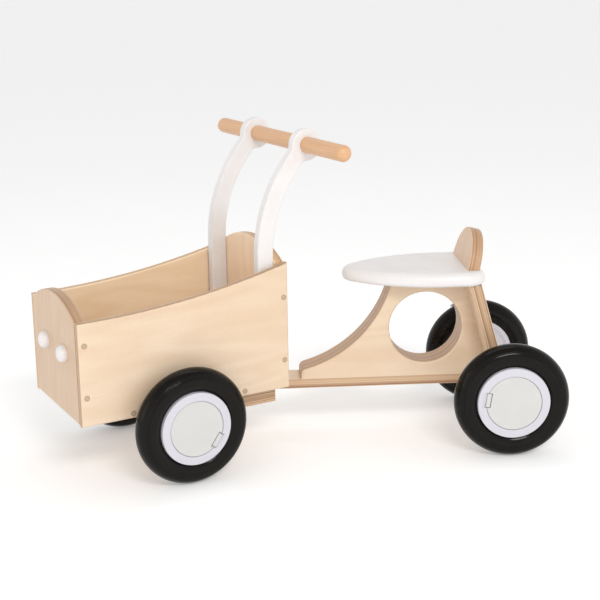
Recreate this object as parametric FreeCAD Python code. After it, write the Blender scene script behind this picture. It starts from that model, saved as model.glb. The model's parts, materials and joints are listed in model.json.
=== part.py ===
import FreeCAD, Part
import math
import os

from FreeCAD import Vector

# A child's wooden ride-on cargo bike with four wheels, in millimetres.
# A low beam and a seat on a round-holed board make the rear frame. A plywood box
# with the handlebar and the front wheels turns on one upright bolt at the beam's
# nose, and it is modelled part-way through a left turn, its rest pose.
#
# Working axes: +X forward, +Y to the rider's left, +Z up from the ground, X = 0 at
# the rear axle. The turning half is drawn straight, in U (forward) and V (left)
# from the steering bolt, then swung by REST_STEER. At the end everything is moved
# so that the origin is the middle of the whole object's base.

# Boards
SIDE_PLY = 12.0            # the box's two long sides
PLY = 15.0                 # rear panel, floor, posts and beam
THICK_PLY = 18.0           # front panel, rear board and seat back
SOFT_EDGE = 3.0            # rounding of the edges that a hand meets
EASED_EDGE = 2.0           # rounding of the other edges

# Wheels and axles. W runs along an axle from the wheel's middle plane, outward positive.
WHEEL_R = 85.0
TYRE_SECTION_R = 18.5      # the tyre's cross-section is a circle of this radius
RIM_R = 53.5
RIM_FACE = 19.0            # W of the rim's face
RIM_SEAT_R = 52.0          # the barrel that the tyre sits on
RIM_EDGE = 1.0             # bevel of the rim's face
TYRE_BED = 12.0            # half the width of the barrel under the tyre
TYRE_BED_INNER = 11.5
RIM_BACK_W = -14.0         # the rim's flat inner side
WEB_FRONT_W = 5.5          # bottom of the recess under the hub cap
HUB_R = 14.0
HUB_INNER_W = -17.0
HUB_OUTER_W = 7.5
CAP_R = 40.2
CAP_EDGE = 0.6
CAP_GAP = 0.3              # seam between the cap and the rim
CAP_LEDGE_R = 36.0         # the rim's step that the cap rests on
CAP_INNER_W = 14.2
CAP_OUTER_W = 18.4
CATCH_LENGTH = 14.0
CATCH_WIDTH = 5.4
CATCH_LINE = 0.7           # width of the groove round the catch
CATCH_DEPTH = 0.8
CATCH_R = 36.5             # from the cap's middle to the catch's middle
CATCH_TURN = {"rear_left": -9, "rear_right": 75, "front_left": 144, "front_right": 20}
BUSH_R = 8.0
BUSH_OUTER_W = -4.0        # inner ends of the two bushes in the hub
BUSH_INNER_W = -5.0
BUSH_FLANGE_R = 11.0
BUSH_FLANGE_H = 1.5
SPACER_R = 8.0
AXLE_NUT_R = 9.0
AXLE_NUT_H = 3.5
AXLE_END_W = 13.2
AXLE_R = 5.0
RUNNING_GAP = 0.05         # radial, between a bush or sleeve and its steel
SIDE_GAP = 0.3             # between faces that slide past each other
REAR_WHEEL_Y = 120.0       # middle plane of a rear wheel
FRONT_WHEEL_V = 128.0
FRONT_AXLE_U = 146.0
AXLE_Z = WHEEL_R

# Cargo box, in U, V, Z
BOX_REAR_U = -29.0
BOX_FRONT_U = 298.0
BOX_HALF_V = 100.0
BOX_BOTTOM_Z = 101.0
SIDE_FRONT_Z = 250.0
SIDE_REAR_Z = 292.5
SIDE_SAG = 11.2            # how far the side's top edge dips below a straight line
FRONT_ARCH_Z = 248.0       # where the front panel's arch springs from the sides
REAR_ARCH_Z = 292.5
ARCH_RISE = 26.0
FRONT_OUTER_EDGE = 1.5     # rounding of the front panel's arch, outside and inside
FRONT_INNER_EDGE = 5.0
RAIL_OUTER_V = 78.0
RAIL_WIDTH = 25.0
RAIL_BOTTOM_Z = 74.0
RAIL_REAR_U = -16.0
RAIL_FRONT_U = 190.0

# Handle posts and handlebar
POST_V = 77.5
POST_WIDTH = 25.4
POST_STRAIGHT_TOP_Z = 300.0
POST_BEND_R = 212.0
HEAD_R = 23.75
NECK_R = 8.0               # rounding where a post runs into its head
BAR_R = 12.0
BAR_LENGTH = 388.0
BAR_END_R = 10.0
BAR_Z = 459.5
BAR_LINE_WIDTH = 1.0       # the fine turned line outside each post's head
BAR_LINE_DEPTH = 0.3
KNOB_V = 39.0
KNOB_Z = 193.0
KNOB_R = 12.5
KNOB_HEIGHT = 10.5
KNOB_EDGE_R = 8.0

# Rear frame
BEAM_WIDTH = 46.0
BEAM_BOTTOM_Z = 78.5
PIVOT_X = 392.5
REST_STEER = 25.5          # degrees to the rider's left
SWEEP_R = 187.0            # the hollow curve from the nose up to the seat
SWEEP_CENTRE = (344.0, 290.0)
NOSE_X = 302.5
NOSE_R = 10.0
HOLE_CENTRE = (111.0, 170.3)
HOLE_R = 55.5
REAR_BOARD_LEAN = 15.2     # degrees, its top leans forward
REAR_BOARD_HALF = 66.0
REAR_BOARD_BOTTOM = 24.0   # along the board, below the axle
REAR_BOARD_CORNER_R = 14.0
SEAT_BOTTOM_Z = 244.7
SEAT_THICK = 21.0
SEAT_HALF = 76.0
SEAT_REAR_X = 26.5
SEAT_WIDEST_X = 85.0
SEAT_TIP_X = 235.5
SEAT_TIP_R = 30.0
SEAT_CORNER_R = 30.0
SEAT_TOP_EDGE_R = 12.0
SEAT_BOTTOM_EDGE_R = 7.0
BACK_FRONT_X = 54.5        # where the back's front face meets the seat
BACK_LEAN = 14.0           # degrees, its top leans backward
BACK_HALF = 57.5
BACK_HEIGHT = 55.0         # along the board

# Steering bolt
BOLT_R = 4.0
BOLT_HEAD_R = 10.0
BOLT_HEAD_H = 5.0
BOLT_HEAD_EDGE_R = 4.0
BOLT_PAST_NUT = 2.0
SLEEVE_R = 7.0
WASHER_R = 12.0
WASHER_H = 1.5
DISC_R = 24.0
NUT_FLATS = 13.0
NUT_H = 6.5

# Fasteners
PLUG_R = 4.0
PLUG_DEPTH = 5.0
SCREW_HEAD_R = 3.6
SCREW_HEAD_H = 2.5
SCREW_R = 1.9
SCREW_TIP_R = 0.4
SCREW_TIP_H = 3.0
DOWEL_R = 4.0
BOX_SCREW_LENGTH = 36.0
POST_SCREW_LENGTH = 28.0
POST_SCREW_ZS = (150, 262)
RAIL_SCREW_LENGTH = 34.0
RAIL_SCREW_US = (15, 95, 172)
KNOB_SCREW_LENGTH = 25.0
SUPPORT_SCREW_LENGTH = 34.0
SUPPORT_SCREW_XS = (60, 150, 235)
REAR_BOARD_SCREW_LENGTHS = {112: 42, 160: 30, 208: 42}    # by height of the screw
SEAT_DOWEL_PLACES = {(130, 0): 26, (72, 0): 26, (44, 40): 30, (44, -40): 30}    # lengths
SEAT_DOWEL_TOP = 12.0      # how far a seat dowel goes up into the seat
BACK_DOWEL_Y = 26.0
BACK_DOWEL_DOWN = 12.0
BACK_DOWEL_UP = 20.0

PLY_HALF = PLY / 2
BEAM_HALF = BEAM_WIDTH / 2
BEAM_TOP_Z = BEAM_BOTTOM_Z + PLY
FLOOR_TOP_Z = BOX_BOTTOM_Z + PLY
SEAT_TOP_Z = SEAT_BOTTOM_Z + SEAT_THICK
INNER_V = BOX_HALF_V - SIDE_PLY
INNER_REAR_U = BOX_REAR_U + PLY
INNER_FRONT_U = BOX_FRONT_U - THICK_PLY
POST_U = INNER_REAR_U + POST_WIDTH / 2
TOP_WASHER_Z = FLOOR_TOP_Z + SIDE_GAP
BOTTOM_WASHER_Z = BEAM_BOTTOM_Z - WASHER_H
AXLE_NUT_W = HUB_OUTER_W + BUSH_FLANGE_H + SIDE_GAP

X_AXIS = Vector(1, 0, 0)
Y_AXIS = Vector(0, 1, 0)
Z_AXIS = Vector(0, 0, 1)


# ---- plain shapes -------------------------------------------------------------

def block(x0, x1, y0, y1, z0, z1):
    return Part.makeBox(x1 - x0, y1 - y0, z1 - z0, Vector(x0, y0, z0))


def rod(radius, start, end):
    along = end - start
    return Part.makeCylinder(radius, along.Length, start, along)


def tube(outer, inner, start, end):
    return rod(outer, start, end).cut(rod(inner, start, end))


def plate(edges, thickness):
    """A flat board: the closed outline of edges, pushed along thickness."""
    return Part.Face(Part.Wire(Part.__sortEdges__(edges))).extrude(thickness)


def line(a, b):
    return Part.LineSegment(a, b).toShape()


def arc(a, middle, b):
    return Part.Arc(a, middle, b).toShape()


def polygon(points):
    return [line(a, b) for a, b in zip(points, points[1:] + points[:1])]


def middle_of(edge):
    return edge.valueAt((edge.FirstParameter + edge.LastParameter) / 2)


def soften(shape, radius, chosen):
    """Rounds the edges whose middle point passes the test."""
    edges = [e for e in shape.Edges if chosen(middle_of(e))]
    return shape.makeFillet(radius, edges)


def near(a, b):
    return abs(a - b) < 0.01


def screw(start, along, length):
    """A countersunk wood screw: flat head at start, shank along the direction."""
    along = Vector(along).normalize()
    head = Part.makeCone(SCREW_HEAD_R, SCREW_R, SCREW_HEAD_H, start, along)
    tip_at = start + along * (length - SCREW_TIP_H)
    shank = rod(SCREW_R, start + along * SCREW_HEAD_H, tip_at)
    tip = Part.makeCone(SCREW_R, SCREW_TIP_R, SCREW_TIP_H, tip_at, along)
    return head.fuse([shank, tip]).removeSplitter()


def plug(face, inward):
    """A round wooden plug, flush with the board's face and going in over a screw."""
    return rod(PLUG_R, face, face + Vector(inward).normalize() * PLUG_DEPTH)


def group(solids):
    return Part.makeCompound(solids)


# ---- fastener places ----------------------------------------------------------

def box_screw_points():
    """(u, z) of the screws through each side panel, into the front, floor and rear."""
    front_u = BOX_FRONT_U - THICK_PLY / 2
    rear_u = BOX_REAR_U + PLY_HALF
    floor_z = BOX_BOTTOM_Z + PLY_HALF
    return [(front_u, 218), (front_u, 143), (222, floor_z), (46, floor_z),
            (rear_u, 241), (rear_u, 145)]


def box_fasteners():
    screws, plugs = [], []
    for side in (1, -1):
        inward = Y_AXIS * -side
        for u, z in box_screw_points():
            face = Vector(u, side * BOX_HALF_V, z)
            plugs.append(plug(face, inward))
            screws.append(screw(face + inward * PLUG_DEPTH, inward, BOX_SCREW_LENGTH))
    return screws, plugs


def post_fasteners():
    """Screws from behind, through the rear panel into the posts' rear edges."""
    screws, plugs = [], []
    for side in (1, -1):
        for z in POST_SCREW_ZS:
            face = Vector(BOX_REAR_U, side * POST_V, z)
            plugs.append(plug(face, X_AXIS))
            screws.append(screw(face + X_AXIS * PLUG_DEPTH, X_AXIS, POST_SCREW_LENGTH))
    return screws, plugs


def rail_fasteners():
    v = RAIL_OUTER_V - RAIL_WIDTH / 2
    return [screw(Vector(u, side * v, FLOOR_TOP_Z), -Z_AXIS, RAIL_SCREW_LENGTH)
            for side in (1, -1) for u in RAIL_SCREW_US]


def knob_fasteners():
    return [screw(Vector(INNER_FRONT_U, side * KNOB_V, KNOB_Z), X_AXIS, KNOB_SCREW_LENGTH)
            for side in (1, -1)]


def support_fasteners():
    return [screw(Vector(x, 0, BEAM_BOTTOM_Z), Z_AXIS, SUPPORT_SCREW_LENGTH)
            for x in SUPPORT_SCREW_XS]


BOX_SCREWS, BOX_PLUGS = box_fasteners()
POST_SCREWS, POST_PLUGS = post_fasteners()
RAIL_SCREWS = rail_fasteners()
KNOB_SCREWS = knob_fasteners()
SUPPORT_SCREWS = support_fasteners()


# ---- cargo box ----------------------------------------------------------------

def side_panel(side):
    """One long side: straight front, rear and bottom, and a dipping top edge."""
    corners = [Vector(BOX_REAR_U, INNER_V, z) for z in (SIDE_REAR_Z, BOX_BOTTOM_Z)]
    corners += [Vector(BOX_FRONT_U, INNER_V, z) for z in (BOX_BOTTOM_Z, SIDE_FRONT_Z)]
    dip = (corners[0] + corners[3]) * 0.5 - Z_AXIS * SIDE_SAG
    edges = [line(a, b) for a, b in zip(corners, corners[1:])]
    edges.append(arc(corners[3], dip, corners[0]))
    board = plate(edges, Y_AXIS * SIDE_PLY)
    board = soften(board, SOFT_EDGE, lambda p: near(p.y, BOX_HALF_V))
    board = soften(board, SOFT_EDGE, lambda p: near(p.y, INNER_V))
    board = board.cut(BOX_SCREWS + BOX_PLUGS)
    return board if side > 0 else board.mirror(Vector(0, 0, 0), Y_AXIS)


def arched_panel(u_outer, u_inner, spring_z, outer_edge, inner_edge):
    """The front or rear board, held between the sides, its top a shallow arch."""
    left = Vector(u_outer, INNER_V, spring_z)
    right = Vector(u_outer, -INNER_V, spring_z)
    crest_z = spring_z + ARCH_RISE
    edges = [arc(left, Vector(u_outer, 0, crest_z), right),
             line(right, Vector(u_outer, -INNER_V, BOX_BOTTOM_Z)),
             line(Vector(u_outer, -INNER_V, BOX_BOTTOM_Z), Vector(u_outer, INNER_V, BOX_BOTTOM_Z)),
             line(Vector(u_outer, INNER_V, BOX_BOTTOM_Z), left)]
    board = plate(edges, X_AXIS * (u_inner - u_outer))
    board = soften(board, outer_edge, lambda p: near(p.x, u_outer) and near(p.z, crest_z))
    board = soften(board, inner_edge, lambda p: near(p.x, u_inner) and near(p.z, crest_z))
    return soften(board, SOFT_EDGE,
                  lambda p: near(p.x, u_outer) and near(p.z, BOX_BOTTOM_Z))


def front_panel():
    board = arched_panel(BOX_FRONT_U, INNER_FRONT_U, FRONT_ARCH_Z,
                         FRONT_OUTER_EDGE, FRONT_INNER_EDGE)
    return board.cut(BOX_SCREWS + KNOB_SCREWS)


def rear_panel():
    board = arched_panel(BOX_REAR_U, INNER_REAR_U, REAR_ARCH_Z, SOFT_EDGE, SOFT_EDGE)
    return board.cut(BOX_SCREWS + POST_SCREWS + POST_PLUGS)


def pivot_rod(radius):
    return rod(radius, Vector(0, 0, 0), Vector(0, 0, 200))


def floor_panel():
    board = block(INNER_REAR_U, INNER_FRONT_U, -INNER_V, INNER_V, BOX_BOTTOM_Z, FLOOR_TOP_Z)
    return board.cut(BOX_SCREWS + RAIL_SCREWS + [pivot_rod(SLEEVE_R)])


def axle_rail(side):
    """A batten under the floor that carries the front axle."""
    v0, v1 = sorted((side * (RAIL_OUTER_V - RAIL_WIDTH), side * RAIL_OUTER_V))
    rail = block(RAIL_REAR_U, RAIL_FRONT_U, v0, v1, RAIL_BOTTOM_Z, BOX_BOTTOM_Z)
    rail = soften(rail, EASED_EDGE, lambda p: near(p.z, RAIL_BOTTOM_Z))
    return rail.cut(RAIL_SCREWS + [front_axle()])


# ---- handle -------------------------------------------------------------------

def bend_angle():
    """How far the posts lean back where they reach the handlebar, in radians."""
    return math.asin((BAR_Z - POST_STRAIGHT_TOP_Z) / POST_BEND_R)


def bar_u():
    return POST_U - POST_BEND_R * (1 - math.cos(bend_angle()))


def handle_post(side):
    """Straight inside the box, then an arc back to a round head on the handlebar."""
    v = side * POST_V - PLY_HALF
    half = POST_WIDTH / 2
    centre_u = POST_U - POST_BEND_R
    angle = bend_angle()

    def on_bend(radius, turn):
        return Vector(centre_u + radius * math.cos(turn), v,
                      POST_STRAIGHT_TOP_Z + radius * math.sin(turn))

    outer, inner = POST_BEND_R + half, POST_BEND_R - half
    edges = [line(Vector(POST_U - half, v, FLOOR_TOP_Z), Vector(POST_U + half, v, FLOOR_TOP_Z)),
             line(Vector(POST_U + half, v, FLOOR_TOP_Z), on_bend(outer, 0)),
             arc(on_bend(outer, 0), on_bend(outer, angle / 2), on_bend(outer, angle)),
             line(on_bend(outer, angle), on_bend(inner, angle)),
             arc(on_bend(inner, angle), on_bend(inner, angle / 2), on_bend(inner, 0)),
             line(on_bend(inner, 0), Vector(POST_U - half, v, FLOOR_TOP_Z))]
    stem = plate(edges, Y_AXIS * PLY)
    eye = Vector(bar_u(), v, BAR_Z)
    head = rod(HEAD_R, eye, eye + Y_AXIS * PLY)
    post = stem.fuse(head).removeSplitter()
    neck = eye + Y_AXIS * PLY_HALF
    post = soften(post, NECK_R, lambda p: near((p - neck).Length, HEAD_R) and near(p.y, neck.y))
    post = soften(post, EASED_EDGE, lambda p: near(abs(p.y - neck.y), PLY_HALF)
                  and p.z > FLOOR_TOP_Z + 1)
    return post.cut([rod(BAR_R, eye - Y_AXIS, eye + Y_AXIS * (PLY + 1))] + POST_SCREWS)


def handlebar():
    """A beech dowel through both heads, its ends well rounded.

    A turned line marks where each grip starts, against the head's outer face.
    """
    half = Vector(0, BAR_LENGTH / 2, 0)
    middle = Vector(bar_u(), 0, BAR_Z)
    bar = rod(BAR_R, middle - half, middle + half)
    bar = soften(bar, BAR_END_R, lambda p: near(abs(p.y), BAR_LENGTH / 2))
    lines = []
    for side in (-1, 1):
        start = middle + Y_AXIS * side * (POST_V + PLY_HALF)
        end = start + Y_AXIS * side * BAR_LINE_WIDTH
        lines.append(tube(BAR_R + BAR_LINE_DEPTH, BAR_R - BAR_LINE_DEPTH, start, end))
    return bar.cut(lines)


def lamp_knob(side):
    """A round white knob on the front, a make-believe headlamp."""
    foot = Vector(BOX_FRONT_U, side * KNOB_V, KNOB_Z)
    knob = rod(KNOB_R, foot, foot + X_AXIS * KNOB_HEIGHT)
    knob = soften(knob, KNOB_EDGE_R, lambda p: near(p.x, BOX_FRONT_U + KNOB_HEIGHT))
    return knob.cut(KNOB_SCREWS)


# ---- steering bolt ------------------------------------------------------------

def at_pivot(z):
    return Vector(PIVOT_X, 0, z)


def pivot_sleeve():
    """A steel sleeve in the box floor, turning on the bolt."""
    return tube(SLEEVE_R, BOLT_R + RUNNING_GAP, Vector(0, 0, BOX_BOTTOM_Z), Vector(0, 0, FLOOR_TOP_Z))


def pivot_bolt():
    head_z = TOP_WASHER_Z + WASHER_H
    shank = rod(BOLT_R, at_pivot(BOTTOM_WASHER_Z - NUT_H - BOLT_PAST_NUT), at_pivot(head_z))
    head = rod(BOLT_HEAD_R, at_pivot(head_z), at_pivot(head_z + BOLT_HEAD_H))
    head = soften(head, BOLT_HEAD_EDGE_R, lambda p: near(p.z, head_z + BOLT_HEAD_H))
    return shank.fuse(head).removeSplitter()


def pivot_washers():
    return group([tube(WASHER_R, BOLT_R, at_pivot(z), at_pivot(z + WASHER_H))
                  for z in (TOP_WASHER_Z, BOTTOM_WASHER_Z)])


def pivot_nut():
    corner = NUT_FLATS / 2 / math.cos(math.radians(30))
    points = [at_pivot(BOTTOM_WASHER_Z - NUT_H)
              + Vector(corner * math.cos(math.radians(a)), corner * math.sin(math.radians(a)), 0)
              for a in range(0, 360, 60)]
    return plate(polygon(points), Z_AXIS * NUT_H).cut(pivot_bolt())


def slip_disc():
    """A nylon disc on the beam that the box floor slides on."""
    return tube(DISC_R, BOLT_R, at_pivot(BEAM_TOP_Z), at_pivot(BOX_BOTTOM_Z - SIDE_GAP))


# ---- rear frame ---------------------------------------------------------------

def lean_x(z, offset):
    """X of the rear board's plane that lies offset ahead of its middle, at height z."""
    lean = math.radians(REAR_BOARD_LEAN)
    return (z - AXLE_Z) * math.tan(lean) + offset / math.cos(lean)


def board_front_x(z):
    return lean_x(z, THICK_PLY / 2)


def rear_board():
    """The leaning board between the seat and the rear axle."""
    half = THICK_PLY / 2
    y0, y1 = -REAR_BOARD_HALF, REAR_BOARD_HALF
    board = block(-half, half, y0, y1, -REAR_BOARD_BOTTOM, SEAT_TOP_Z)
    board = soften(board, REAR_BOARD_CORNER_R,
                   lambda p: near(abs(p.y), y1) and near(p.z, -REAR_BOARD_BOTTOM))
    board.rotate(Vector(0, 0, 0), Y_AXIS, REAR_BOARD_LEAN)
    board.translate(Vector(0, 0, AXLE_Z))
    board = board.common(block(-200, 200, y0, y1, 0, SEAT_BOTTOM_Z))
    tip_z = AXLE_Z - REAR_BOARD_BOTTOM + REAR_BOARD_CORNER_R + EASED_EDGE
    board = soften(board, EASED_EDGE, lambda p: near(abs(p.y), y1) and p.z > tip_z
                   and p.z < SEAT_BOTTOM_Z - 1)
    return board.cut([rear_axle()] + REAR_BOARD_SCREWS + REAR_BOARD_PLUGS + SEAT_DOWELS)


def rear_board_fasteners():
    """Screws from behind, square to the board, into the support and the beam."""
    screws, plugs = [], []
    lean = math.radians(REAR_BOARD_LEAN)
    forward = Vector(math.cos(lean), 0, -math.sin(lean))
    for z, length in REAR_BOARD_SCREW_LENGTHS.items():
        face = Vector(lean_x(z, -THICK_PLY / 2), 0, z)
        plugs.append(plug(face, forward))
        screws.append(screw(face + forward * PLUG_DEPTH, forward, length))
    return screws, plugs


def seat_dowels():
    """Glued wooden dowels between the seat and the boards under it."""
    top_z = SEAT_BOTTOM_Z + SEAT_DOWEL_TOP
    return [rod(DOWEL_R, Vector(x, y, top_z - length), Vector(x, y, top_z))
            for (x, y), length in SEAT_DOWEL_PLACES.items()]


def back_dowels():
    lean = math.radians(BACK_LEAN)
    up = Vector(-math.sin(lean), 0, math.cos(lean))
    x = BACK_FRONT_X - THICK_PLY / 2 / math.cos(lean)
    return [rod(DOWEL_R, Vector(x, y, SEAT_TOP_Z) - up * BACK_DOWEL_DOWN,
                Vector(x, y, SEAT_TOP_Z) + up * BACK_DOWEL_UP)
            for y in (BACK_DOWEL_Y, -BACK_DOWEL_Y)]


REAR_BOARD_SCREWS, REAR_BOARD_PLUGS = rear_board_fasteners()
SEAT_DOWELS = seat_dowels()
BACK_DOWELS = back_dowels()


def beam():
    """The low plank from the rear board to the steering bolt, with a round nose."""
    z = BEAM_BOTTOM_Z
    nose_y = Vector(0, BEAM_HALF, 0)
    start = Vector(PIVOT_X, 0, z)
    edges = [line(start - nose_y, Vector(0, -BEAM_HALF, z)),
             line(Vector(0, -BEAM_HALF, z), Vector(0, BEAM_HALF, z)),
             line(Vector(0, BEAM_HALF, z), start + nose_y),
             arc(start + nose_y, start + X_AXIS * BEAM_HALF, start - nose_y)]
    plank = plate(edges, Z_AXIS * PLY)
    plank = plank.cut(behind_rear_board())
    plank = soften(plank, EASED_EDGE, lambda p: near(p.z, z) and p.x > 40)
    return plank.cut(SUPPORT_SCREWS + [rod(BOLT_R, at_pivot(0), at_pivot(200))])


def behind_rear_board():
    """Everything behind the rear board's front face, to trim what butts on it."""
    low, high = 0.0, 400.0
    points = [Vector(board_front_x(low), -200, low), Vector(-400, -200, low),
              Vector(-400, -200, high), Vector(board_front_x(high), -200, high)]
    return plate(polygon(points), Y_AXIS * 400)


def seat_support():
    """The upright board under the seat: a swept front, a nose and a round hole."""
    cx, cz = SWEEP_CENTRE

    def on_sweep(angle):
        return Vector(cx + SWEEP_R * math.cos(angle), -BEAM_HALF, cz + SWEEP_R * math.sin(angle))

    top_angle = math.pi + math.asin((cz - SEAT_BOTTOM_Z) / SWEEP_R)
    nose_angle = math.pi + math.acos((cx - NOSE_X) / SWEEP_R)
    top, low = on_sweep(top_angle), on_sweep(nose_angle)
    rear_top = Vector(board_front_x(SEAT_BOTTOM_Z), -BEAM_HALF, SEAT_BOTTOM_Z)
    rear_low = Vector(board_front_x(BEAM_TOP_Z), -BEAM_HALF, BEAM_TOP_Z)
    nose_low = Vector(NOSE_X, -BEAM_HALF, BEAM_TOP_Z)
    edges = [arc(top, on_sweep((top_angle + nose_angle) / 2), low),
             line(low, nose_low), line(nose_low, rear_low),
             line(rear_low, rear_top), line(rear_top, top)]
    board = plate(edges, Y_AXIS * BEAM_WIDTH)
    board = soften(board, NOSE_R, lambda p: near(p.y, 0) and near(p.x, low.x) and near(p.z, low.z))
    hole_at = Vector(HOLE_CENTRE[0], -BEAM_HALF, HOLE_CENTRE[1])
    board = board.cut(rod(HOLE_R, hole_at, hole_at + Y_AXIS * BEAM_WIDTH))
    seam_z = BEAM_TOP_Z + 0.1
    board = soften(board, SOFT_EDGE, lambda p: near(abs(p.y), BEAM_HALF) and p.z > seam_z
                   and p.z < SEAT_BOTTOM_Z - 0.1 and p.x > board_front_x(p.z) + 0.1)
    return board.cut(SUPPORT_SCREWS + REAR_BOARD_SCREWS + SEAT_DOWELS)


def seat():
    """A drop-shaped board, broad behind and narrowing to a round nose, edges rolled."""
    half, z = SEAT_HALF, SEAT_BOTTOM_Z
    tip_x = SEAT_TIP_X - SEAT_TIP_R
    run = tip_x - SEAT_WIDEST_X
    flank_r = (run ** 2 + half ** 2 - SEAT_TIP_R ** 2) / (2 * (half - SEAT_TIP_R))
    meet = math.atan2(flank_r - half, run)
    join = Vector(tip_x + SEAT_TIP_R * math.cos(meet), SEAT_TIP_R * math.sin(meet), z)
    corner_x = SEAT_REAR_X + SEAT_CORNER_R

    def flank(turn, side):
        return Vector(SEAT_WIDEST_X + flank_r * math.cos(turn),
                      side * (half - flank_r + flank_r * math.sin(turn)), z)

    edges = []
    for side in (1, -1):
        meeting = Vector(join.x, side * join.y, z)
        broad = Vector(SEAT_WIDEST_X, side * half, z)
        edges.append(arc(meeting, flank((meet + math.pi / 2) / 2, side), broad))
        edges.append(line(broad, Vector(corner_x, side * half, z)))
        bulge = SEAT_CORNER_R * math.sqrt(0.5)
        edges.append(arc(Vector(corner_x, side * half, z),
                         Vector(corner_x - bulge, side * (half - SEAT_CORNER_R + bulge), z),
                         Vector(SEAT_REAR_X, side * (half - SEAT_CORNER_R), z)))
    edges.append(line(Vector(SEAT_REAR_X, half - SEAT_CORNER_R, z),
                      Vector(SEAT_REAR_X, SEAT_CORNER_R - half, z)))
    edges.append(arc(Vector(join.x, join.y, z), Vector(SEAT_TIP_X, 0, z), Vector(join.x, -join.y, z)))
    board = plate(edges, Z_AXIS * SEAT_THICK)
    board = soften(board, SEAT_TOP_EDGE_R, lambda p: near(p.z, SEAT_TOP_Z))
    board = soften(board, SEAT_BOTTOM_EDGE_R, lambda p: near(p.z, z))
    return board.cut(SEAT_DOWELS + BACK_DOWELS)


def seat_back():
    """A small half-oval board standing on the seat, leaning back."""
    ellipse = Part.Ellipse(Vector(0, 0, 0), BACK_HALF, BACK_HEIGHT)
    below = 12.0
    bow = Part.Arc(ellipse, 0, math.pi).toShape()
    foot = [line(Vector(-BACK_HALF, 0, 0), Vector(-BACK_HALF, -below, 0)),
            line(Vector(-BACK_HALF, -below, 0), Vector(BACK_HALF, -below, 0)),
            line(Vector(BACK_HALF, -below, 0), Vector(BACK_HALF, 0, 0))]
    board = plate([bow] + foot, Z_AXIS * THICK_PLY)
    # Lay the oval's height along +Z, its width along Y and its thickness along -X.
    board.rotate(Vector(0, 0, 0), X_AXIS, 90)
    board.rotate(Vector(0, 0, 0), Z_AXIS, -90)
    board = soften(board, EASED_EDGE, lambda p: p.z > 1)
    board.rotate(Vector(0, 0, 0), Y_AXIS, -BACK_LEAN)
    board.translate(Vector(BACK_FRONT_X, 0, SEAT_TOP_Z))
    board = board.common(block(-100, 200, -100, 100, SEAT_TOP_Z, 500))
    return board.cut(BACK_DOWELS)


# ---- wheels -------------------------------------------------------------------

def turned(profile):
    """Revolves (radius, w) points about the wheel's axis, which lies along Y."""
    points = [Vector(r, w, 0) for r, w in profile]
    face = Part.Face(Part.Wire(polygon(points)))
    return face.revolve(Vector(0, 0, 0), Y_AXIS, 360)


def tyre():
    """A solid rubber ring with a round section, bored to sit on the rim's barrel."""
    ring = Part.makeTorus(WHEEL_R - TYRE_SECTION_R, TYRE_SECTION_R, Vector(0, 0, 0), Y_AXIS)
    reach = Vector(0, 30, 0)
    return ring.cut(rod(RIM_SEAT_R, -reach, reach)).cut(rim())


def rim():
    """Moulded rim: a face ring, a barrel under the tyre, a flat back and a hub."""
    recess_r = CAP_R + CAP_GAP
    back = [(BUSH_R, HUB_INNER_W), (HUB_R, HUB_INNER_W), (HUB_R, RIM_BACK_W),
            (RIM_R, RIM_BACK_W), (RIM_R, -TYRE_BED_INNER)]
    barrel = [(RIM_SEAT_R, -TYRE_BED_INNER), (RIM_SEAT_R, TYRE_BED), (RIM_R, TYRE_BED)]
    face = [(RIM_R, RIM_FACE - RIM_EDGE), (RIM_R - RIM_EDGE, RIM_FACE), (recess_r, RIM_FACE),
            (recess_r, CAP_INNER_W), (CAP_LEDGE_R, CAP_INNER_W)]
    front = [(CAP_LEDGE_R, WEB_FRONT_W), (HUB_R, WEB_FRONT_W), (HUB_R, HUB_OUTER_W),
             (BUSH_R, HUB_OUTER_W)]
    return turned(back + barrel + face + front)


def hub_cap():
    """A flat snap-in cover with a small plain catch let into its edge."""
    disc = turned([(0, CAP_INNER_W), (CAP_R, CAP_INNER_W), (CAP_R, CAP_OUTER_W - CAP_EDGE),
                   (CAP_R - CAP_EDGE, CAP_OUTER_W), (0, CAP_OUTER_W)])

    def catch(inset, floor_w):
        half_width = CATCH_WIDTH / 2 - inset
        half_length = CATCH_LENGTH / 2 - inset
        return block(CATCH_R - half_width, CATCH_R + half_width, floor_w, CAP_OUTER_W + 1,
                     -half_length, half_length)

    return disc.cut(catch(0, CAP_OUTER_W - CATCH_DEPTH).cut(catch(CATCH_LINE, CAP_INNER_W)))


def hub_bush(start, end, flange_end):
    """A nylon bush from start to end in the hub, with a flange outside the hub."""
    inner_r = AXLE_R + RUNNING_GAP
    return turned([(inner_r, start), (BUSH_R, start), (BUSH_R, end), (BUSH_FLANGE_R, end),
                   (BUSH_FLANGE_R, flange_end), (inner_r, flange_end)])


def hub_bushes():
    return group([hub_bush(BUSH_OUTER_W, HUB_OUTER_W, HUB_OUTER_W + BUSH_FLANGE_H),
                  hub_bush(BUSH_INNER_W, HUB_INNER_W, HUB_INNER_W - BUSH_FLANGE_H)])


def wheel(place, x, y):
    """The four pieces of one wheel on its axle, with its face outward."""
    pieces = {"tyre": tyre(), "rim": rim(), "hub_cap": hub_cap(), "hub_bushes": hub_bushes()}
    pieces["hub_cap"].rotate(Vector(0, 0, 0), Y_AXIS, CATCH_TURN[place])
    for shape in pieces.values():
        if y < 0:
            shape.rotate(Vector(0, 0, 0), Z_AXIS, 180)
        shape.translate(Vector(x, y, AXLE_Z))
    return {f"{piece}_{place}": shape for piece, shape in pieces.items()}


def axle(x, wheel_y):
    end = Vector(0, wheel_y + AXLE_END_W, 0)
    return rod(AXLE_R, Vector(x, 0, AXLE_Z) - end, Vector(x, 0, AXLE_Z) + end)


def rear_axle():
    return axle(0, REAR_WHEEL_Y)


def front_axle():
    return axle(FRONT_AXLE_U, FRONT_WHEEL_V)


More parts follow.
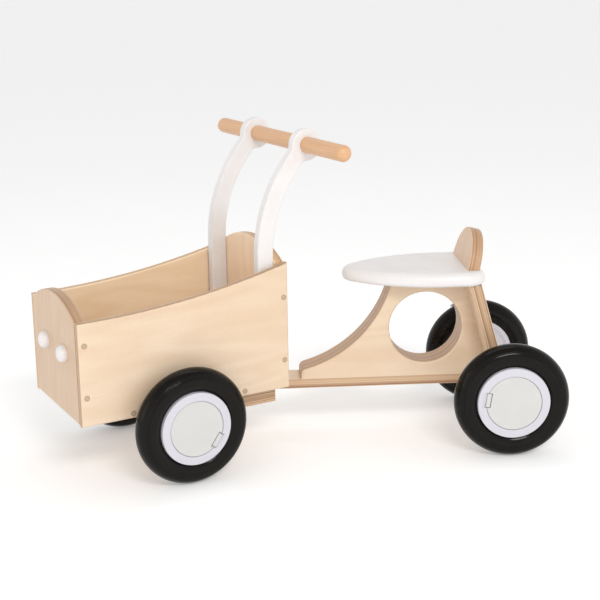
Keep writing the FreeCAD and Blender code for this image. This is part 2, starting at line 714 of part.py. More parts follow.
def spacers(x, wheel_y, wood_y):
    """Tubes that keep the wheels off the wood."""
    end_y = wheel_y + HUB_INNER_W - BUSH_FLANGE_H - SIDE_GAP
    return group([tube(SPACER_R, AXLE_R, Vector(x, side * wood_y, AXLE_Z),
                       Vector(x, side * end_y, AXLE_Z)) for side in (1, -1)])


def axle_nuts(x, wheel_y):
    """Press-on nuts that hold the wheels, hidden under the hub caps."""
    start, end = wheel_y + AXLE_NUT_W, wheel_y + AXLE_NUT_W + AXLE_NUT_H
    return group([tube(AXLE_NUT_R, AXLE_R, Vector(x, side * start, AXLE_Z),
                       Vector(x, side * end, AXLE_Z)) for side in (1, -1)])


# ---- the whole object ---------------------------------------------------------

def turning_half():
    parts = {}
    for name, side in (("left", 1), ("right", -1)):
        parts["side_panel_" + name] = side_panel(side)
        parts["axle_rail_" + name] = axle_rail(side)
        parts["handle_post_" + name] = handle_post(side)
        parts["lamp_knob_" + name] = lamp_knob(side)
        parts.update(wheel("front_" + name, FRONT_AXLE_U, side * FRONT_WHEEL_V))
    parts["front_panel"] = front_panel()
    parts["rear_panel"] = rear_panel()
    parts["floor_panel"] = floor_panel()
    parts["handlebar"] = handlebar()
    parts["box_screws"] = group(BOX_SCREWS)
    parts["post_screws"] = group(POST_SCREWS)
    parts["rail_screws"] = group(RAIL_SCREWS)
    parts["knob_screws"] = group(KNOB_SCREWS)
    parts["wood_plugs"] = group(BOX_PLUGS + POST_PLUGS)
    parts["pivot_sleeve"] = pivot_sleeve()
    parts["front_axle"] = front_axle()
    parts["front_axle_spacers"] = spacers(FRONT_AXLE_U, FRONT_WHEEL_V, RAIL_OUTER_V)
    parts["front_axle_nuts"] = axle_nuts(FRONT_AXLE_U, FRONT_WHEEL_V)
    for shape in parts.values():
        shape.rotate(Vector(0, 0, 0), Z_AXIS, REST_STEER)
        shape.translate(Vector(PIVOT_X, 0, 0))
    return parts


def rear_half():
    parts = {
        "beam": beam(),
        "seat_support": seat_support(),
        "rear_board": rear_board(),
        "seat": seat(),
        "seat_back": seat_back(),
        "seat_dowels": group(SEAT_DOWELS),
        "back_dowels": group(BACK_DOWELS),
        "support_screws": group(SUPPORT_SCREWS),
        "rear_board_screws": group(REAR_BOARD_SCREWS),
        "rear_board_plugs": group(REAR_BOARD_PLUGS),
        "pivot_bolt": pivot_bolt(),
        "pivot_washers": pivot_washers(),
        "pivot_nut": pivot_nut(),
        "slip_disc": slip_disc(),
        "rear_axle": rear_axle(),
        "rear_axle_spacers": spacers(0, REAR_WHEEL_Y, REAR_BOARD_HALF),
        "rear_axle_nuts": axle_nuts(0, REAR_WHEEL_Y),
    }
    for name, side in (("left", 1), ("right", -1)):
        parts.update(wheel("rear_" + name, 0, side * REAR_WHEEL_Y))
    return parts


NODES = {**rear_half(), **turning_half()}

bounds = Part.makeCompound(list(NODES.values())).optimalBoundingBox(False)
CENTRE_X = (bounds.XMin + bounds.XMax) / 2
CENTRE_Y = (bounds.YMin + bounds.YMax) / 2

os.makedirs("parts", exist_ok=True)
for node, shape in NODES.items():
    shape.translate(Vector(-CENTRE_X, -CENTRE_Y, 0))
    if not shape.isValid():
        raise ValueError(node + " is not a valid shape")
    shape.exportStep(f"parts/{node}.step")
print(f"{len(NODES)} nodes, {bounds.XLength:.1f} x {bounds.YLength:.1f} x {bounds.ZLength:.1f} mm,"
      f" rear axle at X {-CENTRE_X:.3f}, Y {-CENTRE_Y:.3f}")
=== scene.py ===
import bmesh
import bpy
import json
import math
from mathutils import Matrix, Vector


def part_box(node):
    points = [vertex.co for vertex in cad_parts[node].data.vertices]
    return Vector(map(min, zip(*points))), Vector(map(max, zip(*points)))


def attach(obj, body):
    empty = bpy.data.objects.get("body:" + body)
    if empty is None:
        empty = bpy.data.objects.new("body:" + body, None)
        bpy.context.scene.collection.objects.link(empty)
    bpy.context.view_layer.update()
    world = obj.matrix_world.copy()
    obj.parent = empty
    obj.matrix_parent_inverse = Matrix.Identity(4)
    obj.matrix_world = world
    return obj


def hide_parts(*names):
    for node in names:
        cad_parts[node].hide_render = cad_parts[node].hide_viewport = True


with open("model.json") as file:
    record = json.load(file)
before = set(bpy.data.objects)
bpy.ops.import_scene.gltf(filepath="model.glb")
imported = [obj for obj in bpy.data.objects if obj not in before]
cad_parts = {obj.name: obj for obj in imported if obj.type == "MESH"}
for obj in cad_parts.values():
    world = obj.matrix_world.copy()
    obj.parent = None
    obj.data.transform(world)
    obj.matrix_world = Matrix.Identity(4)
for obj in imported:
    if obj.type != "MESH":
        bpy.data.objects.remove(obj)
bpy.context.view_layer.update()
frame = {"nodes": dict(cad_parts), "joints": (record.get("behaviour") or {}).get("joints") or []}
MM = 0.001


# ---- Studio ----------------------------------------------------------------------
# A pale seamless floor in a bright tent of diffuse light, with a broad key light from
# the rider's left, a softbox overhead and a weak fill from the front.

scene = bpy.context.scene
scene.view_settings.view_transform = "Standard"
CAMERA_FROM_REAR_AXLE = Vector((428.84, 1854.61, 647.74)) * MM
CAMERA_HEADING = math.radians(-91.547)
CAMERA_TILT = math.radians(13.247)      # below the horizon
CAMERA_ROLL = math.radians(-1.49)
CAMERA_LENS = 75.4
CAMERA_SHIFT = (0.0872, -0.0846)
CAMERA_SIGHT = 50                       # metres

joints = {joint["name"]: joint for joint in frame["joints"]}
rear_axle_middle = (Vector(joints["roll_rear_left"]["pos_m"])
                    + Vector(joints["roll_rear_right"]["pos_m"])) / 2
camera_place = rear_axle_middle + CAMERA_FROM_REAR_AXLE
camera = bpy.data.objects.new("camera", bpy.data.cameras.new("camera"))
scene.collection.objects.link(camera)
scene.camera = camera
ahead = Vector((math.cos(CAMERA_HEADING) * math.cos(CAMERA_TILT),
                math.sin(CAMERA_HEADING) * math.cos(CAMERA_TILT), -math.sin(CAMERA_TILT)))
level_right = Vector((math.sin(CAMERA_HEADING), -math.cos(CAMERA_HEADING), 0))
level_up = level_right.cross(ahead)
right = level_right * math.cos(CAMERA_ROLL) + level_up * math.sin(CAMERA_ROLL)
up = level_up * math.cos(CAMERA_ROLL) - level_right * math.sin(CAMERA_ROLL)
camera_turn = Matrix((right, up, -ahead)).transposed().to_4x4()
camera.matrix_world = Matrix.Translation(camera_place) @ camera_turn
camera.data.lens = CAMERA_LENS
camera.data.shift_x, camera.data.shift_y = CAMERA_SHIFT
camera.data.clip_end = CAMERA_SIGHT


def area_light(name, place, aim, size, power, colour):
    """A rectangular lamp at place, turned to face aim."""
    lamp = bpy.data.lights.new(name, "AREA")
    lamp.shape = "RECTANGLE"
    lamp.size, lamp.size_y = size
    lamp.energy = power
    lamp.color = colour
    rig = bpy.data.objects.new(name, lamp)
    rig.location = place
    rig.rotation_euler = (Vector(aim) - Vector(place)).to_track_quat("-Z", "Y").to_euler()
    scene.collection.objects.link(rig)


area_light("key", (-0.5, 2.3, 1.9), (0.0, 0.0, 0.2), (1.1, 0.5), 29, (1.0, 0.985, 0.965))
area_light("strip", (0.0, -0.5, 2.1), (0.0, 0.0, 0.1), (1.5, 0.2), 3, (1.0, 1.0, 1.0))
area_light("fill", (2.4, 0.6, 0.9), (0.2, 0.0, 0.2), (1.6, 1.2), 4, (0.97, 0.98, 1.0))


class Nodes:
    """Adds nodes to a material or a node group and links them, in few words."""

    def __init__(self, tree):
        self.tree = tree

    def add(self, kind, inputs=(), **settings):
        node = self.tree.nodes.new(kind)
        for name, value in settings.items():
            setattr(node, name, value)
        for key, value in dict(inputs).items():
            self.feed(node.inputs[key], value)
        return node

    def feed(self, socket, value):
        if isinstance(value, bpy.types.NodeSocket):
            self.tree.links.new(value, socket)
        elif hasattr(socket.default_value, "__len__") and not hasattr(value, "__len__"):
            socket.default_value = [value] * len(socket.default_value)
        elif socket.type == "RGBA":
            socket.default_value = (*value[:3], 1.0)
        else:
            socket.default_value = value

    def math(self, operation, a, b=0.0, c=0.0, clamp=False):
        node = self.add("ShaderNodeMath", {0: a, 1: b, 2: c}, operation=operation, use_clamp=clamp)
        return node.outputs[0]

    def noise(self, vector, scale, detail=2.0, roughness=0.5, w=None):
        sockets = {"Vector": vector, "Scale": scale, "Detail": detail, "Roughness": roughness}
        if w is not None:
            sockets["W"] = w
        node = self.add("ShaderNodeTexNoise", sockets, noise_dimensions="4D" if w is not None else "3D")
        return node.outputs["Fac"]

    def stretch(self, vector, scale):
        return self.add("ShaderNodeVectorMath", {0: vector, 1: scale}, operation="MULTIPLY").outputs[0]

    def remap(self, value, low, high, to_low=0.0, to_high=1.0):
        sockets = {"Value": value, "From Min": low, "From Max": high,
                   "To Min": to_low, "To Max": to_high}
        return self.add("ShaderNodeMapRange", sockets, clamp=True).outputs[0]

    def mix(self, factor, a, b, blend="MIX"):
        node = self.add("ShaderNodeMix", data_type="RGBA", blend_type=blend)
        self.feed(node.inputs[0], factor)
        self.feed(node.inputs[6], a)
        self.feed(node.inputs[7], b)
        return node.outputs[2]


def new_group(name, inputs, outputs):
    """A shader node group with named inputs and outputs; returns its Nodes and both ends."""
    tree = bpy.data.node_groups.new(name, "ShaderNodeTree")
    kinds = {"vector": "NodeSocketVector", "value": "NodeSocketFloat", "colour": "NodeSocketColor"}
    for socket, kind in inputs.items():
        tree.interface.new_socket(socket, in_out="INPUT", socket_type=kinds[kind])
    for socket, kind in outputs.items():
        tree.interface.new_socket(socket, in_out="OUTPUT", socket_type=kinds[kind])
    n = Nodes(tree)
    return n, n.add("NodeGroupInput").outputs, n.add("NodeGroupOutput").inputs


def new_material(name, **constants):
    """A Principled material; the constants are values on the shader's own sockets."""
    material = bpy.data.materials.new(name)
    material.use_nodes = True
    n = Nodes(material.node_tree)
    shader = material.node_tree.nodes["Principled BSDF"]
    for socket, value in constants.items():
        n.feed(shader.inputs[socket.replace("_", " ")], value)
    return material, n, shader.inputs


# The tent is white, and twice as bright at the sides as overhead.
TENT_SIDES = 1.17
TENT_TOP = 0.5
world = bpy.data.worlds.new("studio")
world.use_nodes = True
n = Nodes(world.node_tree)
aim = n.add("ShaderNodeSeparateXYZ", {0: n.add("ShaderNodeTexCoord").outputs["Generated"]}).outputs
background = world.node_tree.nodes["Background"].inputs
n.feed(background["Color"], (1.0, 1.0, 1.0))
n.feed(background["Strength"], n.remap(n.math("ABSOLUTE", aim[2]), 0.05, 0.95,
                                         TENT_SIDES, TENT_TOP))
scene.world = world

# The floor is matt and nearly white, with a faint mottle of painted board. It glows a
# little, as a table of translucent acrylic does.
REACH = 90.0
FLOOR_GLOW = 0.2
floor_mesh = bpy.data.meshes.new("floor")
floor_mesh.from_pydata([(-REACH, -REACH, 0), (REACH, -REACH, 0), (REACH, REACH, 0),
                        (-REACH, REACH, 0)], [], [(0, 1, 2, 3)])
floor = bpy.data.objects.new("floor", floor_mesh)
scene.collection.objects.link(floor)
floor_paint, n, shader = new_material("floor_paint", Roughness=0.9, Emission_Color=(1.0, 1.0, 1.0),
                                      Emission_Strength=FLOOR_GLOW)
place = n.add("ShaderNodeTexCoord").outputs["Object"]
mottle = n.noise(place, 9.0, 3.0)
n.feed(shader["Base Color"], n.mix(mottle, (0.91, 0.91, 0.91), (0.94, 0.94, 0.94)))
floor.data.materials.append(floor_paint)


# ---- Birch plywood ---------------------------------------------------------------
# Every board is birch plywood with a clear satin lacquer. The wood is worked out through
# the board's thickness, so the same material has calm rotary-cut figure on the faces and
# crossed plies, each with its own depth of colour, on every cut edge.

# Fibres: fine streaks along the grain, small pores, and broad blotchy figure.
n, given, out = new_group("birch_fibres",
                          {"Place": "vector", "Seed": "value"},
                          {"Streaks": "value", "Pores": "value", "Figure": "value",
                           "Blotches": "value"})
streak_place = n.stretch(given["Place"], (14.0, 900.0, 900.0))
n.feed(out["Streaks"], n.noise(streak_place, 1.0, 3.0, 0.6, w=given["Seed"]))
pore_place = n.stretch(given["Place"], (260.0, 3200.0, 3200.0))
pores = n.noise(pore_place, 1.0, 1.0, 0.5, w=given["Seed"])
n.feed(out["Pores"], n.remap(pores, 0.64, 0.74))
warp = n.noise(n.stretch(given["Place"], (6.0, 14.0, 14.0)), 1.0, 2.0, 0.5, w=given["Seed"])
figure_place = n.stretch(given["Place"], (2.6, 15.0, 15.0))
figure = n.noise(figure_place, 1.0, 1.6, 0.45, w=given["Seed"])
rings = n.math("MULTIPLY_ADD", figure, 62.0, n.math("MULTIPLY", warp, 6.0))
n.feed(out["Figure"], n.math("MULTIPLY_ADD", n.math("SINE", rings), 0.5, 0.5))
blotch_place = n.stretch(given["Place"], (9.0, 22.0, 22.0))
n.feed(out["Blotches"], n.noise(blotch_place, 1.0, 3.0, 0.55, w=given["Seed"]))

# Plies: which ply a point lies in, how much end grain it shows, and the glue lines.
n, given, out = new_group("ply_layers",
                          {"Place": "vector", "Facing": "vector", "Thickness": "value",
                           "Plies": "value", "Seed": "value"},
                          {"Cross": "value", "End grain": "value", "Glue": "value",
                           "Depth": "value"})
split = n.add("ShaderNodeSeparateXYZ", {0: given["Place"]}).outputs
PLY_WAVER = 0.00035         # metres by which a glue line wanders
PLY_EDGE = 0.01             # keeps a face in its outermost ply
waver = n.noise(n.stretch(given["Place"], (30.0, 30.0, 0.0)), 1.0, 2.0)
depth = n.math("MULTIPLY_ADD", n.math("SUBTRACT", waver, 0.5), PLY_WAVER, split[2])
in_plies = n.math("MULTIPLY", n.math("DIVIDE", depth, given["Thickness"]), given["Plies"])
in_plies = n.math("MAXIMUM", in_plies, PLY_EDGE)
in_plies = n.math("MINIMUM", in_plies, n.math("SUBTRACT", given["Plies"], PLY_EDGE))
ply = n.math("FLOOR", in_plies)
chance = n.add("ShaderNodeTexWhiteNoise", {"Vector": n.add("ShaderNodeCombineXYZ", {
    0: ply, 1: given["Seed"], 2: 0.0}).outputs[0]}, noise_dimensions="3D")
n.feed(out["Depth"], chance.outputs["Value"])
cross = n.math("PINGPONG", ply, 1.0)
n.feed(out["Cross"], cross)
within = n.math("FRACT", in_plies)
to_glue = n.math("MINIMUM", within, n.math("SUBTRACT", 1.0, within))
inside = n.math("MULTIPLY", n.math("GREATER_THAN", in_plies, 0.5),
                n.math("LESS_THAN", in_plies, n.math("SUBTRACT", given["Plies"], 0.5)))
n.feed(out["Glue"], n.math("MULTIPLY", n.remap(to_glue, 0.05, 0.14, 1.0, 0.0), inside))
facing = n.add("ShaderNodeSeparateXYZ", {0: given["Facing"]}).outputs
along = n.math("ABSOLUTE", facing[0])
across = n.math("ABSOLUTE", facing[1])
n.feed(out["End grain"], n.math("ADD", n.math("MULTIPLY", along, n.math("SUBTRACT", 1.0, cross)),
                                n.math("MULTIPLY", across, cross), clamp=True))


def group_node(n, name, inputs):
    """Adds a node group to a material and returns its outputs."""
    node = n.add("ShaderNodeGroup", node_tree=bpy.data.node_groups[name])
    for key, value in inputs.items():
        n.feed(node.inputs[key], value)
    return node.outputs


def board_place(n, origin, grain, thick):
    """Coordinates of a board: X along its grain, Z through its thickness from origin."""
    grain, thick = Vector(grain).normalized(), Vector(thick).normalized()
    turn = Matrix((grain, thick.cross(grain), thick)).transposed().to_euler()
    source = n.add("ShaderNodeTexCoord").outputs
    place = n.add("ShaderNodeMapping", {"Vector": source["Object"], "Location": origin,
                                        "Rotation": turn}, vector_type="TEXTURE").outputs[0]
    facing = n.add("ShaderNodeMapping", {"Vector": source["Normal"], "Rotation": turn},
                   vector_type="TEXTURE").outputs[0]
    return place, facing


FACE_LIGHT = (0.79, 0.635, 0.47)
FACE_DARK = (0.715, 0.53, 0.365)
CORE_LIGHT = (0.70, 0.50, 0.315)
CORE_DARK = (0.34, 0.175, 0.09)
GLUE_BROWN = (0.18, 0.08, 0.035)


def plywood(name, origin, grain, thick, thickness, plies, seed, tint_and_painted_light=(1.0, 1.0, 1.0)):
    """Lacquered birch plywood for one board. The last argument scales the whole board's colour: it
    tints some boards warmer and darker, and it brightens the far side and rear boards as painted
    bounced light.
    """
    def toned(colour):
        return [c * t for c, t in zip(colour, tint_and_painted_light)]

    material, n, shader = new_material(name, Coat_Weight=0.25, Coat_Roughness=0.28)
    place, facing = board_place(n, origin, grain, thick)
    layers = group_node(n, "ply_layers", {"Place": place, "Facing": facing,
                                          "Thickness": thickness, "Plies": float(plies),
                                          "Seed": seed})
    split = n.add("ShaderNodeSeparateXYZ", {0: place}).outputs
    crossed = n.add("ShaderNodeCombineXYZ", {0: split[1], 1: split[0], 2: split[2]}).outputs[0]
    laid = n.add("ShaderNodeMix", data_type="VECTOR")
    n.feed(laid.inputs[0], layers["Cross"])
    n.feed(laid.inputs[4], place)
    n.feed(laid.inputs[5], crossed)
    wood = group_node(n, "birch_fibres", {"Place": laid.outputs[1], "Seed": seed})
    blotches = n.math("MULTIPLY", n.remap(wood["Blotches"], 0.3, 0.7), 0.55)
    figure = n.math("MULTIPLY_ADD", wood["Figure"], 0.45, blotches)
    face = n.mix(n.remap(figure, 0.05, 0.95), toned(FACE_LIGHT), toned(FACE_DARK))
    streaks = n.math("MULTIPLY", n.remap(wood["Streaks"], 0.35, 0.75), 0.5)
    face = n.mix(streaks, face, toned(FACE_DARK))
    depth = n.math("POWER", layers["Depth"], 1.6)
    darker = n.math("MULTIPLY_ADD", depth, 0.75, n.math("MULTIPLY", layers["End grain"], 0.3))
    core = n.mix(darker, toned(CORE_LIGHT), toned(CORE_DARK))
    edge = n.add("ShaderNodeSeparateXYZ", {0: facing}).outputs
    on_edge = n.remap(n.math("ABSOLUTE", edge[2]), 0.3, 0.62, 1.0, 0.0)
    colour = n.mix(on_edge, face, core)
    colour = n.mix(n.math("MULTIPLY", wood["Pores"], 0.3), colour, toned(CORE_DARK))
    glue = n.math("MULTIPLY", n.math("MULTIPLY", layers["Glue"], on_edge), 0.5)
    colour = n.mix(glue, colour, toned(GLUE_BROWN))
    n.feed(shader["Base Color"], colour)
    gloss = n.math("MULTIPLY_ADD", wood["Streaks"], 0.16, n.math("MULTIPLY", layers["End grain"], 0.15))
    n.feed(shader["Roughness"], n.math("ADD", gloss, 0.36))
    relief = n.math("SUBTRACT", wood["Streaks"], n.math("MULTIPLY", wood["Pores"], 0.8))
    bump = n.add("ShaderNodeBump", {"Strength": 0.18, "Distance": 0.0002, "Height": relief})
    n.feed(shader["Normal"], bump.outputs[0])
    return material


def dress(node, material):
    """Gives a CAD node its material."""
    piece = frame["nodes"][node]
    piece.data.materials.clear()
    piece.data.materials.append(material)


# ---- Beam and seat support ---------------------------------------------------------
# A low plywood plank runs from the rear board to the steering bolt. On it stands the
# support, sawn from thick laminated birch with a swept front and a round hand hole.

PLY = 15 * MM
low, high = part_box("beam")
dress("beam", plywood("beam_ply", (low.x, low.y, low.z), (1, 0, 0), (0, 0, 1), PLY, 9, 1.3))

low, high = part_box("seat_support")
dress("seat_support", plywood("support_ply", (low.x, low.y, low.z), (1, 0, 0), (0, 1, 0),
                              high.y - low.y, 27, 4.1))


# ---- Rear board --------------------------------------------------------------------
# The thick leaning board behind the support carries the seat and the rear axle. It is
# screwed from behind, and round plugs cover the screws.

LEAN = math.radians(15.2)
THICK_PLY = 18 * MM
low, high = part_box("rear_board")
axle_low, axle_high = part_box("rear_axle")
axle = (axle_low + axle_high) / 2
across_board = Vector((math.cos(LEAN), 0, -math.sin(LEAN)))
up_board = Vector((math.sin(LEAN), 0, math.cos(LEAN)))
dress("rear_board", plywood("rear_board_ply", axle - across_board * THICK_PLY / 2, up_board,
                            across_board, THICK_PLY, 11, 7.7))


# ---- Seat --------------------------------------------------------------------------
# A drop-shaped plywood board with rolled edges under white satin paint. Four dowels hold
# it on the support and the rear board.

n, given, out = new_group("satin_paint",
                          {"Place": "vector", "Paint": "colour", "Shade": "colour"},
                          {"Colour": "colour", "Roughness": "value", "Height": "value"})
mottle = n.noise(given["Place"], 26.0, 3.0, 0.6)
n.feed(out["Colour"], n.mix(n.remap(mottle, 0.3, 0.75), given["Paint"], given["Shade"]))
roller = n.noise(given["Place"], 420.0, 2.0, 0.6)
n.feed(out["Height"], roller)
n.feed(out["Roughness"], n.math("MULTIPLY_ADD", mottle, 0.12, 0.34))

white_paint, n, shader = new_material("white_paint", Coat_Weight=0.15, Coat_Roughness=0.3)
place = n.add("ShaderNodeTexCoord").outputs["Object"]
coat = group_node(n, "satin_paint", {"Place": place, "Paint": (0.78, 0.76, 0.755),
                                     "Shade": (0.74, 0.71, 0.70)})
n.feed(shader["Base Color"], coat["Colour"])
n.feed(shader["Roughness"], coat["Roughness"])
bump = n.add("ShaderNodeBump", {"Strength": 0.12, "Distance": 0.0002, "Height": coat["Height"]})
n.feed(shader["Normal"], bump.outputs[0])
dress("seat", white_paint)


# ---- Seat back ---------------------------------------------------------------------
# A small half-oval of thick plywood, lacquered and leaning back a little. It stands on
# the seat on two dowels.

BACK_LEAN = math.radians(14)
low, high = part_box("seat_back")
back_across = Vector((math.cos(BACK_LEAN), 0, math.sin(BACK_LEAN)))
back_up = Vector((-math.sin(BACK_LEAN), 0, math.cos(BACK_LEAN)))
foot = Vector((high.x, (low.y + high.y) / 2, low.z)) - back_across * THICK_PLY
dress("seat_back", plywood("seat_back_ply", foot, back_up, back_across, THICK_PLY, 11, 2.9,
                           (0.91, 0.82, 0.76)))


# ---- Cargo box ---------------------------------------------------------------------
# Two long sides with a dipping top edge, and arched front and rear boards between them,
# screwed and plugged. The whole box turns on the steering bolt.

UP = Vector((0, 0, 1))
pivot = Vector(joints["steering"]["pos_m"])
left = Vector(joints["roll_front_left"]["axis"])
forward = left.cross(UP)
SIDE_PLY = 12 * MM
BOX_HALF = 100 * MM
BOX_REAR = -29 * MM
BOX_FRONT = 298 * MM


def in_box(u, v, z):
    """A point given forward, left and up from the steering bolt at floor height."""
    return Vector((pivot.x, pivot.y, 0)) + forward * u + left * v + UP * z


def box_board(node, origin, grain, thick, thickness, plies, seed, tint_and_painted_light=(1.0, 1.0, 1.0)):
    """Dresses one board of the box in plywood laid from origin."""
    dress(node, plywood(node + "_ply", origin, grain, thick, thickness, plies, seed, tint_and_painted_light))


INNER_SIDE = BOX_HALF - SIDE_PLY
box_board("side_panel_left", in_box(0, INNER_SIDE, 0), forward, left, SIDE_PLY, 9, 11.2)
# The far side is brightened all over, its outer face too: painted light standing in for light bounced
# onto its inner face.
box_board("side_panel_right", in_box(0, -INNER_SIDE, 0), forward, -left, SIDE_PLY, 9, 5.6,
          (1.18, 1.18, 1.14))
box_board("front_panel", in_box(BOX_FRONT - THICK_PLY, 0, 0), UP, forward, THICK_PLY, 13, 3.4,
          (0.84, 0.765, 0.71))
# The rear panel is brightened all over in the same way: painted light standing in for light bounced
# into the box.
box_board("rear_panel", in_box(BOX_REAR + PLY, 0, 0), UP, -forward, PLY, 11, 9.1,
          (1.2, 1.17, 1.12))
floor_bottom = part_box("floor_panel")[0].z
box_board("floor_panel", in_box(0, 0, floor_bottom), forward, UP, PLY, 11, 6.2)
rail_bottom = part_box("axle_rail_left")[0].z
RAIL_DEPTH = floor_bottom - rail_bottom
for side, seed in (("left", 8.3), ("right", 8.8)):
    box_board("axle_rail_" + side, in_box(0, 0, rail_bottom), forward, UP, RAIL_DEPTH, 19, seed)


# ---- Handle posts and handlebar ------------------------------------------------------
# Two bent plywood posts, painted white and screwed to the rear panel, carry a turned
# beech bar that is glued through their heads. Two white knobs sit on the front panel.

for side in ("left", "right"):
    dress("handle_post_" + side, white_paint)
    dress("lamp_knob_" + side, white_paint)

beech, n, shader = new_material("beech", Coat_Weight=0.2, Coat_Roughness=0.3)
place, facing = board_place(n, in_box(0, 0, 0), left, UP)
wood = group_node(n, "birch_fibres", {"Place": place, "Seed": 12.5})
colour = n.mix(n.remap(wood["Streaks"], 0.3, 0.7), (0.74, 0.45, 0.245), (0.60, 0.33, 0.165))
colour = n.mix(n.math("MULTIPLY", wood["Pores"], 0.6), colour, (0.34, 0.16, 0.07))
n.feed(shader["Base Color"], colour)
n.feed(shader["Roughness"], n.math("MULTIPLY_ADD", wood["Streaks"], 0.2, 0.32))
dress("handlebar", beech)
for node in ("seat_dowels", "back_dowels"):
    dress(node, beech)


# ---- Metal and nylon hardware --------------------------------------------------------
# Zinc-plated steel for the bolt set, screws, axles, spacers and nuts; natural nylon for
# the bushes in the hubs and the disc under the box.

zinc, n, shader = new_material("zinc_steel", Metallic=1.0)
place = n.add("ShaderNodeTexCoord").outputs["Object"]
spangle = n.noise(place, 300.0, 3.0, 0.6)
n.feed(shader["Base Color"], n.mix(spangle, (0.50, 0.51, 0.53), (0.66, 0.67, 0.69)))
n.feed(shader["Roughness"], n.math("MULTIPLY_ADD", spangle, 0.2, 0.24))
for node in frame["nodes"]:
    is_axle = node in ("front_axle", "rear_axle") or "axle_nuts" in node or "axle_spacers" in node
    if is_axle or "screws" in node or node.startswith("pivot"):
        dress(node, zinc)

nylon, n, shader = new_material("nylon")
place = n.add("ShaderNodeTexCoord").outputs["Object"]
cloud = n.noise(place, 120.0, 2.0)
n.feed(shader["Base Color"], n.mix(cloud, (0.78, 0.77, 0.72), (0.84, 0.83, 0.79)))
n.feed(shader["Roughness"], n.math("MULTIPLY_ADD", cloud, 0.15, 0.38))
dress("slip_disc", nylon)
for node in frame["nodes"]:
    if node.startswith("hub_bushes"):
        dress(node, nylon)


# ---- Wood plugs ----------------------------------------------------------------------
# Round end-grain plugs glued in over the screws and sanded flush, each with a dark line
# of glue round it.

plug_wood, n, shader = new_material("plug_wood", Coat_Weight=0.2, Coat_Roughness=0.3)
place = n.add("ShaderNodeTexCoord").outputs["Object"]
fleck = n.noise(place, 900.0, 3.0, 0.6)
n.feed(shader["Base Color"], n.mix(n.remap(fleck, 0.35, 0.7), (0.56, 0.43, 0.28), (0.40, 0.28, 0.17)))
n.feed(shader["Roughness"], n.math("MULTIPLY_ADD", fleck, 0.2, 0.4))
dress("wood_plugs", plug_wood)
dress("rear_board_plugs", plug_wood)

glue_line, n, shader = new_material("glue_line")
place = n.add("ShaderNodeTexCoord").outputs["Object"]
fleck = n.noise(place, 700.0, 2.0)
n.feed(shader["Base Color"], n.mix(fleck, (0.26, 0.16, 0.09), (0.36, 0.23, 0.14)))
n.feed(shader["Roughness"], n.math("MULTIPLY_ADD", fleck, 0.2, 0.45))


def turned(name, outline, places, steps, material, body):
    """Turns a closed outline of (r, w) points about each place's own outward axis."""
    points, faces = [], []
    for origin, outward, start in places:
        first = len(points)
        across = outward.cross(start)
        for k in range(steps):
            angle = math.tau * k / steps
            spoke = start * math.cos(angle) + across * math.sin(angle)
            points += [origin + spoke * (r * MM) + outward * (w * MM) for r, w in outline]
        size = len(outline)
        for k in range(steps):
            near, far = first + k * size, first + (k + 1) % steps * size
            faces += [(near + i, near + (i + 1) % size, far + (i + 1) % size, far + i)
                      for i in range(size)]
    mesh = bpy.data.meshes.new(name)
    mesh.from_pydata(points, [], faces)
    shape = bmesh.new()
    shape.from_mesh(mesh)
    bmesh.ops.remove_doubles(shape, verts=shape.verts, dist=1e-6)
    bmesh.ops.dissolve_degenerate(shape, edges=shape.edges, dist=1e-7)
    bmesh.ops.recalc_face_normals(shape, faces=shape.faces)
    shape.to_mesh(mesh)
    shape.free()
    mesh.shade_smooth()
    mesh.set_sharp_from_angle(angle=math.radians(35))
    mesh.materials.append(material)
    piece = bpy.data.objects.new(name, mesh)
    scene.collection.objects.link(piece)
    piece.modifiers.new("even_shading", "WEIGHTED_NORMAL").keep_sharp = True
    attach(piece, body)
    return piece


# The ring's section, then each row's plugs from the steering bolt, all in millimetres.
GLUE_RING = [(3.45, 0.03), (4.1, 0.03), (4.1, -0.4), (3.45, -0.4)]
SIDE_PLUGS = [(289, 218), (289, 143), (222, 108.5), (46, 108.5), (-21.5, 241), (-21.5, 145)]
POST_V = 77.5
POST_PLUG_Z = (150, 262)
BOARD_PLUG_Z = (112, 160, 208)
AXLE_Z = 85
rings = [(in_box(u * MM, side * BOX_HALF, z * MM), left * side, UP)
         for side in (1, -1) for u, z in SIDE_PLUGS]
rings += [(in_box(BOX_REAR, v * MM, z * MM), -forward, UP)
          for v in (POST_V, -POST_V) for z in POST_PLUG_Z]
turned("box_plug_glue", GLUE_RING, rings, 28, glue_line, "front_carriage")
behind_board = rear_axle_middle - across_board * THICK_PLY / 2
rise = THICK_PLY / 2 * math.tan(LEAN)
rings = [(behind_board + up_board * ((z - AXLE_Z) * MM / math.cos(LEAN) + rise),
          -across_board, up_board) for z in BOARD_PLUG_Z]
turned("board_plug_glue", GLUE_RING, rings, 28, glue_line, "frame")


# ---- Wheels --------------------------------------------------------------------------
# A moulded plastic rim carries a solid black rubber tyre with two fine rings on its flank
# and a parting line on its tread. A flat cap with a small catch snaps into the rim.

rubber, n, shader = new_material("tyre_rubber", Specular_IOR_Level=0.17)
place = n.add("ShaderNodeTexCoord").outputs["Object"]
bloom = n.noise(place, 60.0, 4.0, 0.6)
n.feed(shader["Base Color"], n.mix(bloom, (0.003, 0.0024, 0.002), (0.0075, 0.006, 0.005)))
n.feed(shader["Roughness"], n.math("MULTIPLY_ADD", bloom, 0.12, 0.09))
skin = n.noise(place, 1500.0, 2.0, 0.6)
bump = n.add("ShaderNodeBump", {"Strength": 0.1, "Distance": 0.0002, "Height": skin})
n.feed(shader["Normal"], bump.outputs[0])

